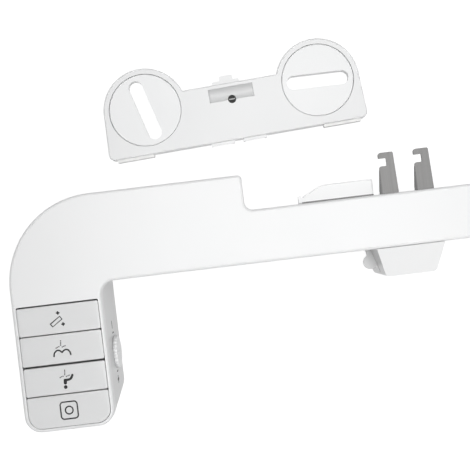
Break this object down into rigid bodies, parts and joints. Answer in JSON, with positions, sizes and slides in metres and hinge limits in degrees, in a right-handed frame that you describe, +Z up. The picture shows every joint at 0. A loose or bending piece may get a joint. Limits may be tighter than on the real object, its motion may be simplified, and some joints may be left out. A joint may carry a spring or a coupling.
{
  "type": "bidet toilet attachment",
  "caption": "Slim water-powered bidet attachment with a side key panel, twin retracting nozzles and a clip-on seat-bolt bracket with turning slotted discs.",
  "frame": {"origin": "middle of the rim pad's lower face, half way between the two steel hooks, where the slab rests on the bowl", "axes": "+X to the right along the slab, +Y to the back (away from the user), +Z up"},
  "size_m": [0.4125, 0.2563, 0.0605],
  "materials": {
    "shell": "glossy white moulded ABS with a faint cool tint",
    "keys": "glossy white moulded ABS with dark printed pictograms",
    "box": "glossy white moulded ABS",
    "disc": "satin white moulded ABS",
    "dial": "satin light grey moulded ABS, fluted",
    "inner": "natural grey acetal",
    "steel": "brushed stainless steel",
    "spring_steel": "drawn stainless wire",
    "rubber": "soft grey rubber",
    "hose": "milky silicone"
  },
  "bodies": {
    "unit": {"top_cover": "shell", "base_plate": "shell", "control_box": "box", "rim_pad": "rubber", "case_screws": "steel", "key_frame": "inner", "key_spring_clean": "spring_steel", "key_spring_front": "spring_steel", "key_spring_rear": "spring_steel", "key_spring_off": "spring_steel", "latch_spring": "spring_steel", "valve_body": "inner", "valve_seals": "rubber", "flow_valve": "inner", "link_pipe": "inner", "feed_pipe": "inner", "inlet_spigot": "box", "inlet_filter": "inner", "hose_clean": "hose", "hose_front": "hose", "hose_rear": "hose", "nozzle_housing": "shell", "housing_screws": "steel", "guard_pin": "steel", "nozzle_distributor": "inner", "hook_left": "steel", "hook_right": "steel", "hook_screws": "steel"},
    "clean_key": {"key_clean": "keys", "plunger_clean": "inner"},
    "front_key": {"key_front": "keys", "plunger_front": "inner"},
    "rear_key": {"key_rear": "keys", "plunger_rear": "inner"},
    "off_key": {"key_off": "keys", "plunger_off": "inner"},
    "latch": {"latch_plate": "inner"},
    "dial": {"pressure_dial": "dial", "dial_spindle": "steel"},
    "cradle": {"nozzle_cradle": "shell"},
    "rear_nozzle": {"nozzle_rear": "shell"},
    "front_nozzle": {"nozzle_front": "shell"},
    "guard": {"nozzle_guard": "shell"},
    "bracket": {"bracket_shell": "shell", "bracket_base": "shell", "bracket_pads": "rubber", "centre_screw": "steel", "release_spring": "spring_steel"},
    "left_disc": {"disc_left": "disc"},
    "right_disc": {"disc_right": "disc"},
    "release": {"release_slider": "shell"}
  },
  "joints": [
    {"name": "press_clean", "type": "slide", "parent": "unit", "child": "clean_key", "axis": [0, 0, -1], "range_m": [0, 0.003], "stiffness_N_per_m": 300, "springref_m": -0.002, "deforming": ["key_spring_clean"]},
    {"name": "press_front", "type": "slide", "parent": "unit", "child": "front_key", "axis": [0, 0, -1], "range_m": [0, 0.003], "stiffness_N_per_m": 300, "springref_m": -0.002, "deforming": ["key_spring_front"]},
    {"name": "press_rear", "type": "slide", "parent": "unit", "child": "rear_key", "axis": [0, 0, -1], "range_m": [0, 0.003], "stiffness_N_per_m": 300, "springref_m": -0.002, "deforming": ["key_spring_rear"]},
    {"name": "press_off", "type": "slide", "parent": "unit", "child": "off_key", "axis": [0, 0, -1], "range_m": [0, 0.003], "stiffness_N_per_m": 300, "springref_m": -0.002, "deforming": ["key_spring_off"]},
    {"name": "latch_slide", "type": "slide", "parent": "unit", "child": "latch", "axis": [0, 1, 0], "range_m": [0, 0.003], "deforming": ["latch_spring"]},
    {"name": "dial_turn", "type": "hinge", "parent": "unit", "child": "dial", "pos_m": [-0.216, -0.08165, -0.0235], "axis": [1, 0, 0], "range_deg": [-120, 120]},
    {"name": "nozzle_aim", "type": "slide", "parent": "unit", "child": "cradle", "axis": [0, 1, 0], "range_m": [-0.003, 0.003]},
    {"name": "extend_rear", "type": "slide", "parent": "cradle", "child": "rear_nozzle", "axis": [0, -0.2588, -0.9659], "range_m": [0, 0.027], "stiffness_N_per_m": 20, "springref_m": -0.01},
    {"name": "extend_front", "type": "slide", "parent": "cradle", "child": "front_nozzle", "axis": [0, -0.2588, -0.9659], "range_m": [0, 0.027], "stiffness_N_per_m": 20, "springref_m": -0.01},
    {"name": "guard_flip", "type": "hinge", "parent": "unit", "child": "guard", "pos_m": [-0.002, -0.04745, -0.0055], "axis": [-1, 0, 0], "range_deg": [0, 80]},
    {"name": "bracket_carry", "type": "slide", "parent": "unit", "child": "bracket", "axis": [0.8925, -0.1772, 0.4148], "range_m": [0, 0.1241]},
    {"name": "disc_left_turn", "type": "hinge", "parent": "bracket", "child": "left_disc", "pos_m": [-0.1757, 0.09148, -0.0412], "axis": [0, 0, 1], "continuous": true},
    {"name": "disc_right_turn", "type": "hinge", "parent": "bracket", "child": "right_disc", "pos_m": [-0.0459, 0.09862, -0.0412], "axis": [0, 0, 1], "continuous": true},
    {"name": "release_push", "type": "slide", "parent": "bracket", "child": "release", "axis": [-0.9985, -0.055, 0], "range_m": [0, 0.0054], "stiffness_N_per_m": 250, "springref_m": -0.002, "deforming": ["release_spring"]}
  ],
  "couplings": [
    {"joint": "latch_slide", "follows": "press_off", "ratio": 1}
  ]
}
